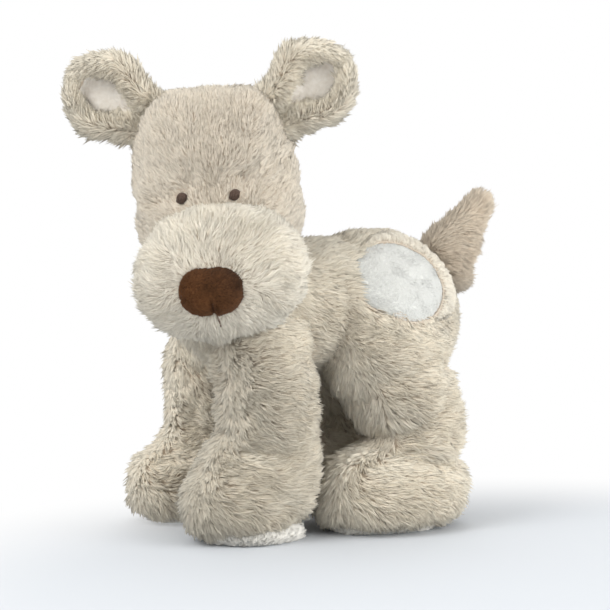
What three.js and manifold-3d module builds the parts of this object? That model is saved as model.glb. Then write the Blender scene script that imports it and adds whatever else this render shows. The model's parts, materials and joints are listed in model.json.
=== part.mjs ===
// A standing plush dog, about 270 mm tall, with its head turned to its left. Millimetres, +Z up.
// The dog faces -Y, its left side is +X, and its feet stand on z = 0.
// Each furry form is a union of rounded lumps. A cover is the outer skin of its form, and the stuffing fills it.
// The covers are open where one form runs into the next, as the sewn fabric is.
import * as THREE from "three";
import { mergeVertices } from "three/addons/utils/BufferGeometryUtils.js";
import Module from "manifold-3d";

const wasm = await Module();
wasm.setup();

// ---- driving dimensions ----
const SKIN = 3; // thickness of the plush fabric with its pile
const GAP = 0.35; // room between neighbouring pieces
const PLAY = 2; // room around a piece that moves
const SOLE = 5; // thickness of a foot's sole
const LINING = 1.4; // thickness of an ear's lining

// A leg's place, half its width and depth, and how far its paw reaches past the leg behind and in front.
const LEGS = {
  front_left: { x: 31, y: -38, wide: 26, deep: 31, heel: 2, toe: 18 },
  front_right: { x: -33, y: -38, wide: 26, deep: 31, heel: 2, toe: 18 },
  hind_left: { x: 35, y: 42, wide: 28, deep: 28, heel: 11, toe: 12 },
  hind_right: { x: -35, y: 42, wide: 28, deep: 28, heel: 11, toe: 12 },
};
const HIP_HEIGHT = 80; // height of the line that a leg swings about
const PAW = { height: 22, radius: 27 };

const NECK = new THREE.Vector3(2, -47, 136); // the point that the head turns and nods about
const NECK_RADIUS = 15;
const HEAD_TURNED = 60; // how far the head is turned to the dog's left at rest, in degrees
const HEAD_TILTED = 5; // how far the head leans to the dog's right at rest, in degrees
const HEAD_TURN = 20; // further turn either way, in degrees

const EAR_ROOT = new THREE.Vector3(34, 0, 91); // from the neck point to the left ear's root
const EAR_LEAN = 56; // degrees from upright to the line from an ear's root to its tip
const EAR_RADIUS = 25;
const EAR_FOLD = 20; // degrees either way

const TAIL_ROOT = new THREE.Vector3(0, 84, 142);
const TAIL_LEAN = 35; // degrees from upright, towards the rear
const TAIL_LENGTH = 38; // from the middle of its round base to the middle of its round tip
const TAIL_RADIUS = { base: 15, tip: 7 };

const BELLY = { width: 34, length: 46, middle: 80 }; // the panel under the belly, and its height
const PATCH = { at: [34, 40, 136], radius: 22, thickness: 1.2, back: 18, up: 4 };
const EYE = { side: 14.5, height: 51, radius: 2.9 };

// ---- geometry tools ----
const rad = THREE.MathUtils.degToRad;
const X = new THREE.Vector3(1, 0, 0);
const Y = new THREE.Vector3(0, 1, 0);
const Z = new THREE.Vector3(0, 0, 1);

// An ellipsoid. centre and radii are [x, y, z], and grow is added to every radius.
function lump(centre, radii, grow = 0, around = 14, down = 8) {
  const ball = new THREE.SphereGeometry(1, around, down);
  ball.rotateX(Math.PI / 2);
  ball.scale(...radii.map((r) => r + grow));
  return ball.translate(...centre);
}

// A body of revolution about Z. Its profile is [radius, height] points that start and end on the axis.
function spun(points, around) {
  points[0].x = 0;
  points[points.length - 1].x = 0;
  return new THREE.LatheGeometry(points, around).rotateX(Math.PI / 2);
}

const quarter = (height, radius, from, steps) =>
  new THREE.EllipseCurve(0, height, radius, radius, from, from + Math.PI / 2).getPoints(steps);

const slab = (x, y, z, centre) => new THREE.BoxGeometry(x, y, z).translate(...centre);

function turned(geometry, point, axis, angle) {
  const copy = geometry.clone().translate(-point.x, -point.y, -point.z);
  copy.applyMatrix4(new THREE.Matrix4().makeRotationAxis(axis, rad(angle)));
  return copy.translate(point.x, point.y, point.z);
}

// A closed geometry as a solid that can be joined and cut.
function solid(geometry) {
  const bare = geometry.clone();
  bare.deleteAttribute("normal");
  bare.deleteAttribute("uv");
  const merged = mergeVertices(bare, 1e-4);
  return new wasm.Manifold(
    new wasm.Mesh({
      numProp: 3,
      vertProperties: merged.attributes.position.array,
      triVerts: new Uint32Array(merged.index.array),
    }),
  );
}

const join = (geometries) => geometries.map(solid).reduce((whole, next) => whole.add(next));
const cut = (whole, ...tools) => tools.reduce((rest, tool) => rest.subtract(tool), whole);

// ---- named pieces and their finishes ----
const dog = new THREE.Group();

function piece(name, shape, color, roughness) {
  const mesh = shape.getMesh();
  const geometry = new THREE.BufferGeometry();
  geometry.setAttribute("position", new THREE.BufferAttribute(mesh.vertProperties, 3));
  geometry.setIndex(new THREE.BufferAttribute(mesh.triVerts, 1));
  geometry.computeVertexNormals();
  const material = new THREE.MeshStandardMaterial({ color, roughness, metalness: 0 });
  const part = new THREE.Mesh(geometry, material);
  part.name = name;
  dog.add(part);
}

const plush = (name, shape) => piece(name, shape, 0xcfc4b2, 0.95);
const fleece = (name, shape) => piece(name, shape, 0xe8e6e1, 0.95);
const lining = (name, shape) => piece(name, shape, 0xd8d0c2, 0.9);
const velour = (name, shape) => piece(name, shape, 0x5f3c24, 0.7);
const thread = (name, shape) => piece(name, shape, 0x4a3628, 0.6);
const fibre = (name, shape) => piece(name, shape, 0xf4f4f0, 1.0);

// ---- forms ----
const rump = (grow) => lump([0, 42, 119], [51, 48, 46], grow);
const barrel = (grow) => lump([0, 6, 124], [46, 66, 38], grow);
const chest = (grow) => lump([0, -31, 123], [47, 42, 41], grow);
const torso = (grow) => [chest(grow), barrel(grow), rump(grow)];

// A leg is an upright oval column with a round top, and its paw bulges forward.
function leg({ x, y, wide, deep, heel, toe }, grow) {
  const radius = deep + grow;
  const foot = new THREE.Vector2(radius, -HIP_HEIGHT);
  const profile = [new THREE.Vector2(0, -HIP_HEIGHT), foot, ...quarter(0, radius, 0, 5)];
  const column = spun(profile, 14).scale((wide + grow) / radius, 1, 1).translate(x, y, HIP_HEIGHT);
  const length = deep + (toe + heel) / 2;
  const paw = lump([x, y - (toe - heel) / 2, PAW.height], [wide + 1, length, PAW.radius], grow);
  return [column, paw];
}

// The tail tapers from a round base to a round tip.
function tail(grow) {
  const base = quarter(0, TAIL_RADIUS.base + grow, -Math.PI / 2, 4);
  const tip = quarter(TAIL_LENGTH, TAIL_RADIUS.tip + grow, 0, 3);
  return spun([...base, ...tip], 12).rotateX(rad(-TAIL_LEAN)).translate(...TAIL_ROOT.toArray());
}

// The head's own frame has its origin at the neck point, and the head faces -Y in it.
const skull = (grow) => [
  lump([0, 0, 38], [46, 41, 42], grow, 16, 10),
  lump([0, 0, 70], [40, 38, 39], grow, 16, 10),
];
const muzzle = (grow) => lump([4, -36, 10], [48, 27, 39], grow, 16, 10);

// An ear stands on its root. Its bowl is the hollow in the front of its flap.
const onEar = (side, geometry) =>
  geometry.rotateY(rad(side * EAR_LEAN)).translate(side * EAR_ROOT.x, EAR_ROOT.y, EAR_ROOT.z);
const flap = (side, grow) => onEar(side, lump([0, 0, EAR_RADIUS], [EAR_RADIUS, 7, EAR_RADIUS], grow));
const bowl = (side, grow) =>
  onEar(side, lump([0, -13, EAR_RADIUS + 2], [EAR_RADIUS - 4, 14, EAR_RADIUS - 3], grow));

// This carries a geometry from the head's frame into the dog's.
const inDog = (geometry) =>
  geometry.rotateY(rad(-HEAD_TILTED)).rotateZ(rad(HEAD_TURNED)).translate(...NECK.toArray());
const onHead = (...geometries) => join(geometries.map(inDog));

// ---- room for the moving pieces ----
const NOD_ROOM = 5; // how far a nod carries the muzzle's surface towards the chest and the front legs
const SWING_ROOM = 4; // extra depth for the top of a swinging leg

function headRoom() {
  const cheeks = inDog(lump([0, 0, 37], [50, 50, 44]));
  const mouth = inDog(muzzle(NOD_ROOM));
  const turns = [-1, -0.5, 0, 0.5, 1].map((part) => part * HEAD_TURN);
  return join([cheeks, ...turns.map((angle) => turned(mouth, NECK, Z, angle))]);
}

// A leg's round top turns inside its own outline, and only the column below it swings.
function legRoom({ x, y, wide, deep }) {
  const top = lump([x, y, HIP_HEIGHT], [wide, deep, deep], PLAY);
  const below = [x, y, HIP_HEIGHT / 2];
  return join([top, slab(2 * wide + PLAY, 2 * deep + SWING_ROOM, HIP_HEIGHT, below)]);
}

function earRoom(side) {
  const root = new THREE.Vector3(side * EAR_ROOT.x, EAR_ROOT.y, EAR_ROOT.z);
  const axis = X.clone().applyAxisAngle(Y, rad(side * EAR_LEAN));
  return onHead(
    ...[-EAR_FOLD, 0, EAR_FOLD].map((angle) => turned(flap(side, PLAY), root, axis, angle)),
  );
}

const neckBall = (grow) => solid(lump(NECK.toArray(), Array(3).fill(NECK_RADIUS), grow, 24, 14));
const neckHole = neckBall(GAP);
const tailHole = solid(lump(TAIL_ROOT.toArray(), Array(3).fill(TAIL_RADIUS.base), PLAY));
const headSpace = headRoom();
const rooms = [headSpace, ...Object.values(LEGS).map(legRoom), tailHole];
const torsoInside = join(torso(-SKIN));

// ---- torso ----
const bellyPanel = (grow) =>
  solid(slab(BELLY.width + grow, BELLY.length + grow, 60, [0, 0, BELLY.middle]));
const torsoSkin = cut(join(torso(0)), torsoInside, ...rooms);
plush("torso_cover", cut(torsoSkin, bellyPanel(2 * GAP)));
lining("belly_gusset", torsoSkin.intersect(bellyPanel(0)));
const torsoFill = join([barrel(-SKIN - GAP), rump(-SKIN - GAP)]);
fibre("torso_stuffing", cut(torsoFill, ...rooms, neckHole));

// The patch lies on the left flank of the rump, facing out.
const patchCore = new THREE.CylinderGeometry(PATCH.radius, PATCH.radius, 60, 28)
  .rotateZ(-Math.PI / 2)
  .translate(30, 0, 0)
  .rotateY(rad(-PATCH.back))
  .rotateZ(rad(PATCH.up))
  .translate(...PATCH.at);
const patchSheet = cut(solid(rump(GAP + PATCH.thickness)), join(torso(GAP)));
fleece("rump_patch", patchSheet.intersect(solid(patchCore)));

// ---- legs ----
const underLeg = solid(slab(400, 400, 200, [0, 0, SOLE + GAP - 100]));
for (const [name, place] of Object.entries(LEGS)) {
  const form = (grow) => join(leg(place, grow));
  plush(`leg_${name}_cover`, cut(form(0), form(-SKIN), underLeg, torsoInside, headSpace));
  fibre(`leg_${name}_stuffing`, cut(form(-SKIN - GAP), underLeg, headSpace));
  const floorSlab = solid(slab(200, 200, SOLE, [place.x, place.y, SOLE / 2]));
  fleece(`leg_${name}_sole`, form(0).intersect(floorSlab));
}

// ---- tail ----
plush("tail_cover", cut(solid(tail(0)), solid(tail(-SKIN)), torsoInside));
fibre("tail_stuffing", solid(tail(-SKIN - GAP)));

// ---- neck and head ----
fibre("neck_stuffing", neckBall(0));

const SIDES = { left: 1, right: -1 };
const earRooms = Object.values(SIDES).map(earRoom);
plush("head_cover", cut(onHead(...skull(0)), onHead(...skull(-SKIN)), neckHole, ...earRooms));
fibre("head_stuffing", cut(onHead(...skull(-SKIN - GAP)), neckHole, ...earRooms));

const skullGap = onHead(...skull(GAP));
plush("muzzle_cover", cut(onHead(muzzle(0)), onHead(muzzle(-SKIN)), skullGap, neckHole));
fibre("muzzle_stuffing", cut(onHead(muzzle(-SKIN - GAP)), skullGap, neckHole));

// ---- face ----
const muzzleGap = onHead(muzzle(GAP));
velour("nose", cut(onHead(lump([0, -60, 2], [18, 8, 12.5])), muzzleGap));
thread("mouth_stitch", cut(onHead(lump([0, -59, -19], [0.9, 3.5, 6], 0, 8, 8)), muzzleGap));
for (const [name, side] of Object.entries(SIDES)) {
  const eye = lump([side * EYE.side, -36, EYE.height], [EYE.radius, 4, EYE.radius], 0, 12, 8);
  thread(`eye_${name}`, cut(onHead(eye), skullGap, muzzleGap));
}

// ---- ears ----
for (const [name, side] of Object.entries(SIDES)) {
  const whole = onHead(flap(side, 0));
  plush(`ear_${name}_cover`, cut(whole, onHead(bowl(side, 0))));
  const sheet = cut(onHead(bowl(side, -GAP)), onHead(bowl(side, -GAP - LINING)));
  lining(`ear_${name}_lining`, sheet.intersect(whole));
}

// The origin is the middle of the footprint of the whole dog, on the floor.
const box = new THREE.Box3().setFromObject(dog);
const middle = box.getCenter(new THREE.Vector3());
dog.position.set(-middle.x, -middle.y, -box.min.z);

export default dog;
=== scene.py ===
"""A standing plush dog: stuffed fabric skins, sewn details and pile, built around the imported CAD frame.

Shapes are worked out in millimetres and become metres when a mesh is made.
A skin is the backing fabric. The pile stands on it as tufts of modelled, tapering fibres.
"""
import json
import math
from contextlib import contextmanager

import bmesh
import bpy
import numpy as np
from mathutils import Matrix, Vector
from mathutils.bvhtree import BVHTree


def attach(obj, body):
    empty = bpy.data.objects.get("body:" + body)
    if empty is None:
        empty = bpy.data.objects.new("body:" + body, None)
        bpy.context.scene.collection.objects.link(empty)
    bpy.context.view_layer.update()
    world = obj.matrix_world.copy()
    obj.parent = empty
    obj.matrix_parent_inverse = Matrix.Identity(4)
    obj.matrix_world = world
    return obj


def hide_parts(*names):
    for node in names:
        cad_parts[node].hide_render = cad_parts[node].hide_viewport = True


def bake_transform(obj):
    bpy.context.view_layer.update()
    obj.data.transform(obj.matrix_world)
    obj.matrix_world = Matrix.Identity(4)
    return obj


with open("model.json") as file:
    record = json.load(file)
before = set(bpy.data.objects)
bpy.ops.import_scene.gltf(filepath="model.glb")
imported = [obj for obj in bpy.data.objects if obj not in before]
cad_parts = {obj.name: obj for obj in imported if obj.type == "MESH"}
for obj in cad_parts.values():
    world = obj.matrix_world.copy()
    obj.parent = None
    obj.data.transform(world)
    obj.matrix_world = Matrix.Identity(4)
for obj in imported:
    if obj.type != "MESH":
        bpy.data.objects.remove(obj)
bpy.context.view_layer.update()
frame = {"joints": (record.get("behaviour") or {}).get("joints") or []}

MM = 0.001
FIBRE_UV = "OFBake"  # the UV layer that carries a fibre's shade and height
rng = np.random.default_rng(11)

# ---- places, from the frame
JOINTS = {joint["name"]: joint for joint in frame["joints"]}
LEGS = ("front_left", "front_right", "hind_left", "hind_right")


def pivot(joint):
    return Vector(JOINTS[joint]["pos_m"]) / MM


def axle(joint):
    return Vector(JOINTS[joint]["axis"]).normalized()


def axes(x, y, z, origin):
    """The matrix of a frame from its three axes and its origin."""
    turn = Matrix((x, y, z)).transposed().to_4x4()
    return Matrix.Translation(origin) @ turn


HIPS = {leg: pivot(f"leg_{leg}_swing") for leg in LEGS}
HIND_BACK = 42  # from the middle of the torso back to the hind hips
BODY = Matrix.Translation(
    ((HIPS["hind_left"].x + HIPS["hind_right"].x) / 2, HIPS["hind_left"].y - HIND_BACK, 0)
)
HIPS_IN_BODY = {leg: BODY.inverted() @ hip for leg, hip in HIPS.items()}
HEAD_TILT = 5  # degrees that the head leans to the dog's right
nod = axle("head_nod")
HEAD = (
    Matrix.Translation(pivot("neck_turn"))
    @ Matrix.Rotation(math.atan2(nod.y, nod.x), 4, "Z")
    @ Matrix.Rotation(-math.radians(HEAD_TILT), 4, "Y")
)
face = (HEAD.to_3x3() @ Vector((0, -1, 0))).normalized()
EARS = {}
for side in ("left", "right"):
    along = face.cross(axle(f"ear_{side}_fold")).normalized()
    EARS[side] = axes((-face).cross(along), -face, along, pivot(f"ear_{side}_fold"))
tail_along = axle("tail_wag").cross(Vector((1, 0, 0))).normalized()
TAIL = axes(Vector((1, 0, 0)), tail_along.cross(Vector((1, 0, 0))), tail_along, pivot("tail_wag"))


def facing(normal, origin):
    """A frame whose Z is the normal and whose Y points up the slope."""
    z = Vector(normal).normalized()
    x = Vector((0, 0, 1)).cross(z).normalized()
    return axes(x, z.cross(x), z, origin)


# ---- numpy helpers
def unit(v):
    return v / np.maximum(np.linalg.norm(v, axis=-1, keepdims=True), 1e-9)


def dot(a, b):
    return (a * b).sum(-1, keepdims=True)


def moved(points, matrix):
    m = np.array(matrix)
    return points @ m[:3, :3].T + m[:3, 3]


def local(points, matrix):
    return moved(points, matrix.inverted())


def turned(vectors, matrix):
    return vectors @ np.array(matrix.to_3x3()).T


def step(low, high, x):
    t = np.clip((x - low) / (high - low), 0, 1)
    return t * t * (3 - 2 * t)


def bump(x, middle, width):
    """1 at the middle, falling smoothly to nothing over the width."""
    return np.exp(-(((x - middle) / width) ** 2))


def waves(points, size, seed):
    """Smooth, repeatable variation from about -1 to 1, with features about size mm across."""
    source = np.random.default_rng(seed)
    total = np.zeros(len(points))
    for _ in range(6):
        direction = unit(source.normal(size=3))
        pitch = size * source.uniform(1.6, 3.2)
        total += np.sin(points @ direction * (2 * math.pi / pitch) + source.uniform(0, 6.28))
    return total / 3.2  # keeps the six waves to about 1


# ---- meshes
class Surface:
    """Points (mm), triangles and point normals of a mesh."""

    def __init__(self, points, triangles):
        self.points, self.triangles = points, triangles
        corner = points[triangles]
        face_normal = np.cross(corner[:, 1] - corner[:, 0], corner[:, 2] - corner[:, 0])
        self.area = np.linalg.norm(face_normal, axis=1) / 2
        normals = np.zeros_like(points)
        for k in range(3):
            for axis in range(3):
                normals[:, axis] += np.bincount(
                    triangles[:, k], face_normal[:, axis], minlength=len(points)
                )
        self.normals = unit(normals)
        self.middles = corner.mean(1)

    def only(self, keep):
        """The part of the surface whose triangles are kept."""
        triangles = self.triangles[keep]
        used = np.unique(triangles)
        renumber = np.full(len(self.points), -1)
        renumber[used] = np.arange(len(used))
        part = Surface(self.points[used], renumber[triangles])
        part.normals = self.normals[used]
        return part

    def tree(self):
        return BVHTree.FromPolygons(self.points.tolist(), self.triangles.tolist())


def surface_of(obj):
    mesh = obj.data
    mesh.calc_loop_triangles()
    points = np.empty(len(mesh.vertices) * 3)
    mesh.vertices.foreach_get("co", points)
    triangles = np.empty(len(mesh.loop_triangles) * 3, np.int32)
    mesh.loop_triangles.foreach_get("vertices", triangles)
    return Surface(points.reshape(-1, 3) / MM, triangles.reshape(-1, 3))


def set_points(obj, points):
    obj.data.vertices.foreach_set("co", (points * MM).astype(np.float32).ravel())


def new_object(name, mesh, material):
    obj = bpy.data.objects.new(name, mesh)
    bpy.context.scene.collection.objects.link(obj)
    mesh.materials.append(material)
    return obj


def mesh_object(name, points, faces, material, uv=None, normals=None):
    """A smooth object from points (mm) and equal-sided faces, with an optional UV for each corner.

    normals, one for each point, take the place of the mesh's own in shading.
    """
    mesh = bpy.data.meshes.new(name)
    count, sides = faces.shape
    mesh.vertices.add(len(points))
    mesh.vertices.foreach_set("co", (points * MM).astype(np.float32).ravel())
    mesh.loops.add(count * sides)
    mesh.loops.foreach_set("vertex_index", faces.astype(np.int32).ravel())
    mesh.polygons.add(count)
    mesh.polygons.foreach_set("loop_start", np.arange(0, count * sides, sides, dtype=np.int32))
    mesh.polygons.foreach_set("use_smooth", np.ones(count, bool))
    if uv is not None:
        layer = mesh.uv_layers.new(name=FIBRE_UV)
        layer.data.foreach_set("uv", uv.astype(np.float32).ravel())
    mesh.update(calc_edges=True)
    if normals is not None:
        mesh.normals_split_custom_set_from_vertices(normals.astype(np.float32))
    return new_object(name, mesh, material)


@contextmanager
def editing(obj):
    """The mesh of obj as a bmesh, written back and shaded smooth at the end."""
    bm = bmesh.new()
    bm.from_mesh(obj.data)
    yield bm
    bm.to_mesh(obj.data)
    bm.free()
    obj.data.shade_smooth()


def baked(obj):
    """Applies every modifier of obj."""
    graph = bpy.context.evaluated_depsgraph_get()
    mesh = bpy.data.meshes.new_from_object(obj.evaluated_get(graph))
    obj.modifiers.clear()
    obj.data = mesh
    return obj


def lump(bm, matrix, centre, radii):
    """Adds an ellipsoid (mm) of the matrix's frame to bm."""
    place = matrix @ Matrix.Translation(centre) @ Matrix.Diagonal((*radii, 1))
    bmesh.ops.create_icosphere(bm, subdivisions=4, radius=1, matrix=Matrix.Scale(MM, 4) @ place)


def form(name, matrix, lumps, voxel, smoothing, material):
    """One skin over several lumps, melted together. voxel is the size (mm) of its mesh's faces."""
    bm = bmesh.new()
    for centre, radii in lumps:
        lump(bm, matrix, centre, radii)
    mesh = bpy.data.meshes.new(name)
    bm.to_mesh(mesh)
    bm.free()
    obj = new_object(name, mesh, material)
    remesh = obj.modifiers.new("remesh", "REMESH")
    remesh.mode = "VOXEL"
    remesh.voxel_size = voxel * MM
    smooth = obj.modifiers.new("smooth", "SMOOTH")
    smooth.factor = 0.5
    smooth.iterations = smoothing
    baked(obj)
    obj.data.shade_smooth()
    return obj


FRAMES = 20  # length of a stuffing simulation
PRESSURE = 4  # of the stuffing on the skin, from inside
HELD = 0.02  # a point held less than this is free


def stuffed(obj, seams, most):
    """Fills the skin from inside with a cloth simulation, then makes its mesh finer.

    seams gives how firmly each point is held, from 0 to 1, and most is how far (mm) a point may move.
    """
    before = surface_of(obj).points
    held = seams(before)
    group = obj.vertex_groups.new(name="seams")
    for index in np.flatnonzero(held > HELD):
        group.add([int(index)], float(held[index]), "REPLACE")
    cloth = obj.modifiers.new("stuffing", "CLOTH")
    settings = cloth.settings
    settings.quality = 5
    settings.mass = 0.3
    settings.tension_stiffness = settings.compression_stiffness = 15
    settings.shear_stiffness = 5
    settings.bending_stiffness = 0.5
    settings.shrink_min = settings.shrink_max = -0.05
    settings.use_pressure = True
    settings.uniform_pressure_force = PRESSURE
    settings.vertex_group_mass = "seams"
    settings.effector_weights.gravity = 0
    cloth.collision_settings.use_collision = False
    for time in range(1, FRAMES + 1):
        bpy.context.scene.frame_set(time)
    baked(obj)
    bpy.context.scene.frame_set(1)
    move = surface_of(obj).points - before
    size = np.linalg.norm(move, axis=1, keepdims=True)
    set_points(obj, before + move * np.minimum(1, most / np.maximum(size, 1e-6)))
    obj.vertex_groups.clear()
    fine = obj.modifiers.new("fine", "SUBSURF")
    fine.levels = 1
    return baked(obj)


def part_of(name, surface, keep, material, thickness=1.2):
    """A piece of cloth cut from a surface, with its own thickness."""
    part = surface.only(keep)
    obj = mesh_object(name, part.points, part.triangles, material)
    return thick(obj, thickness)


def thick(obj, thickness):
    """Gives a sheet its thickness (mm), inward from its surface."""
    solid = obj.modifiers.new("cloth", "SOLIDIFY")
    solid.thickness = thickness * MM
    solid.offset = -1
    solid.use_even_offset = False
    return baked(obj)


def dropped(tree, matrix, x, y, height):
    """Where a point falls along -Z of a frame onto a tree, and the normal there."""
    down = matrix.to_3x3() @ Vector((0, 0, -1))
    hit, normal, _, _ = tree.ray_cast(matrix @ Vector((x, y, height)), down)
    if hit is None:
        hit, normal, _, _ = tree.find_nearest(matrix @ Vector((x, y, 0)))
    return hit, -normal if normal.dot(down) > 0 else normal


def draped(name, tree, matrix, radii, material, lift, inner=0.0, outer=None, start=0.0, end=2 * math.pi,
           rings=14, around=72, height=40, thickness=1.4, evened=0):
    """An oval cloth, or a part of a ring, laid along -Z of its frame onto the surface of a tree.

    lift gives the height (mm) of its top over the surface, from the share of the way out (0 to 1) and
    the angle. inner is the inner edge of a ring, and outer gives the outer edge at an angle, both in
    radii. height is where the cloth falls from. evened is how many times a whole oval is smoothed.
    """
    points, faces = [], []
    first = 0.0 if inner else 0.02  # a whole oval has a small hole in its middle, closed below
    for i in range(rings + 1):
        share = first + (1 - first) * i / rings
        for j in range(around + 1):
            angle = start + (end - start) * j / around
            radius = inner + ((outer(angle) if outer else 1) - inner) * share
            x, y = radii[0] * radius * math.cos(angle), radii[1] * radius * math.sin(angle)
            hit, normal = dropped(tree, matrix, x, y, height)
            points.append(hit + normal * lift(share, angle))
    for i in range(rings):
        for j in range(around):
            a = i * (around + 1) + j
            faces.append((a, a + around + 1, a + around + 2, a + 1))
    grid = np.array(points).reshape(rings + 1, around + 1, 3)
    for _ in range(evened):
        ring = grid[:, :-1]
        beside = np.roll(ring, 1, 1) + np.roll(ring, -1, 1)
        ring[1:-1] = (beside[1:-1] + ring[:-2] + ring[2:]) / 4
        grid[:, -1] = grid[:, 0]
    obj = mesh_object(name, grid.reshape(-1, 3), np.array(faces), material)
    with editing(obj) as bm:
        bmesh.ops.remove_doubles(bm, verts=bm.verts, dist=0.01 * MM)
        if inner == 0:
            rim = [edge for edge in bm.edges if edge.is_boundary]
            hole = [e for e in rim if (e.verts[0].co / MM - Vector(points[0])).length < max(radii) * 0.1]
            bmesh.ops.contextual_create(bm, geom=hole)
    return thick(obj, thickness)


def tube(name, path, radius, material, closed=False, sides=6):
    """A round thread along a path of points (mm), with capped ends unless it is closed."""
    path = np.array(path, float)
    ahead = np.roll(path, -1, 0) - np.roll(path, 1, 0) if closed else np.gradient(path, axis=0)
    ahead = unit(ahead)
    side_way = unit(np.cross(ahead, np.array((0.31, 0.22, 0.93))))  # no thread here runs this way
    up_way = np.cross(side_way, ahead)
    count = len(path)
    rings = []
    for k in range(sides):
        angle = 2 * math.pi * k / sides
        rings.append(path + radius * (math.cos(angle) * side_way + math.sin(angle) * up_way))
    points = np.stack(rings, 1).reshape(-1, 3)
    faces = []
    for i in range(count if closed else count - 1):
        for k in range(sides):
            a, b = i * sides + k, i * sides + (k + 1) % sides
            c, d = (i + 1) % count * sides + (k + 1) % sides, (i + 1) % count * sides + k
            faces.append((a, b, c, d))
    obj = mesh_object(name, points, np.array(faces), material)
    with editing(obj) as bm:
        bmesh.ops.holes_fill(bm, edges=[edge for edge in bm.edges if edge.is_boundary])
        bmesh.ops.recalc_face_normals(bm, faces=bm.faces)
    return obj


def joined(name, objects):
    """Several meshes as one object that keeps the first one's material."""
    obj = new_object(name, bpy.data.meshes.new(name), objects[0].data.materials[0])
    with editing(obj) as bm:
        for one in objects:
            bm.from_mesh(one.data)
            bpy.data.objects.remove(one)
    return obj


# ---- materials
def shader(name):
    """A new node material, its nodes, what links them, and its surface node."""
    material = bpy.data.materials.new(name)
    material.use_nodes = True
    nodes = material.node_tree.nodes
    return material, nodes, material.node_tree.links.new, nodes["Principled BSDF"]


def set_inputs(node, values):
    for name, value in values.items():
        node.inputs[name].default_value = value


def new_node(nodes, kind, values=None, **settings):
    """A new shader node with its settings and input values."""
    node = nodes.new(f"ShaderNode{kind}")
    for name, value in settings.items():
        setattr(node, name, value)
    set_inputs(node, values or {})
    return node


def ramp(nodes, stops):
    """A colour ramp from (position, colour) stops."""
    node = new_node(nodes, "ValToRGB")
    elements = node.color_ramp.elements
    while len(elements) < len(stops):
        elements.new(0.5)
    for element, (position, colour) in zip(elements, stops):
        element.position = position
        element.color = (*colour, 1)
    return node


def pile_material(name, root, tip, spread=0.2, sheen=0.12):
    """Fibres of a root and a tip colour; the darker root is partly the pile's own colour and partly painted
    shade deep in the pile. U is a tuft's own shade, within the spread, V the way up.
    """
    material, nodes, link, skin = shader(name)
    uv = new_node(nodes, "UVMap", uv_map=FIBRE_UV)
    split = new_node(nodes, "SeparateXYZ")
    link(uv.outputs["UV"], split.inputs[0])
    root, tip = srgb(*root), srgb(*tip)
    middle = [0.35 * a + 0.65 * b for a, b in zip(root, tip)]
    colour = ramp(nodes, [(0.0, root), (0.4, middle), (0.8, tip)])
    link(split.outputs["Y"], colour.inputs[0])
    shade = new_node(nodes, "MapRange", {"To Min": 1 - spread, "To Max": 1 + spread})
    link(split.outputs["X"], shade.inputs["Value"])
    scaled = new_node(nodes, "VectorMath", operation="SCALE")
    link(colour.outputs["Color"], scaled.inputs[0])
    link(shade.outputs["Result"], scaled.inputs["Scale"])
    link(scaled.outputs["Vector"], skin.inputs["Base Color"])
    set_inputs(skin, {"Roughness": 0.8, "Specular IOR Level": 0.2})
    set_inputs(skin, {"Sheen Weight": sheen, "Sheen Roughness": 0.5})
    return material


def cloth_material(name, low, high, grain, relief, sheen=0.3):
    """A short, matt, mottled fabric. grain is the size (mm) of its mottling, relief how deep it is."""
    material, nodes, link, skin = shader(name)
    place = new_node(nodes, "TexCoord")
    mottle = new_node(nodes, "TexNoise", {"Scale": 1 / (grain * MM), "Detail": 4})
    link(place.outputs["Object"], mottle.inputs["Vector"])
    colour = ramp(nodes, [(0.3, srgb(*low)), (0.7, srgb(*high))])
    link(mottle.outputs["Fac"], colour.inputs[0])
    link(colour.outputs["Color"], skin.inputs["Base Color"])
    uneven = new_node(nodes, "Bump", {"Strength": relief, "Distance": MM})
    link(mottle.outputs["Fac"], uneven.inputs["Height"])
    link(uneven.outputs["Normal"], skin.inputs["Normal"])
    set_inputs(skin, {"Roughness": 0.95, "Specular IOR Level": 0.15, "Sheen Weight": sheen})
    return material


def srgb(r, g, b):
    """A linear colour from 8-bit sRGB."""
    return tuple(((c / 255 + 0.055) / 1.055) ** 2.4 if c > 10 else c / 3294.6 for c in (r, g, b))


BACKING = cloth_material("backing", (188, 172, 153), (206, 192, 174), 2.0, 0.5)
# each pile's darker root colour is partly its own and partly painted shade deep in the pile
PILE = pile_material("pile", (186, 168, 148), (229, 221, 203))
PILE_PALE = pile_material("pile_pale", (206, 191, 173), (240, 234, 219))
PILE_SHORT = pile_material("pile_short", (172, 150, 130), (214, 201, 182))
PILE_WHITE = pile_material("pile_white", (210, 211, 207), (219, 220, 216), 0.04, 0)
PILE_SOLE = pile_material("pile_sole", (238, 234, 223), (250, 247, 239), 0.06, 0.2)
PILE_FACE = pile_material("pile_face", (196, 180, 161), (228, 219, 203))
PILE_VELOUR = pile_material("pile_velour", (46, 28, 16), (94, 60, 33), 0.6, 0.05)
FLEECE = cloth_material("fleece", (224, 225, 220), (230, 231, 226), 1.6, 0.15, 0)
LINING = cloth_material("lining", (226, 219, 208), (240, 235, 227), 3.0, 0.3)
BELLY = cloth_material("belly", (150, 132, 118), (176, 158, 143), 2.0, 0.5)
VELOUR = cloth_material("velour", (46, 25, 14), (76, 46, 28), 2.2, 0.7, 0.1)
THREAD = cloth_material("thread", (96, 78, 66), (124, 106, 92), 0.6, 0.4, 0.1)
EYE_THREAD = cloth_material("eye_thread", (62, 49, 42), (108, 90, 80), 0.4, 0.4, 0.1)
SEAM = cloth_material("seam", (190, 176, 158), (208, 196, 180), 1.0, 0.4)


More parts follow.
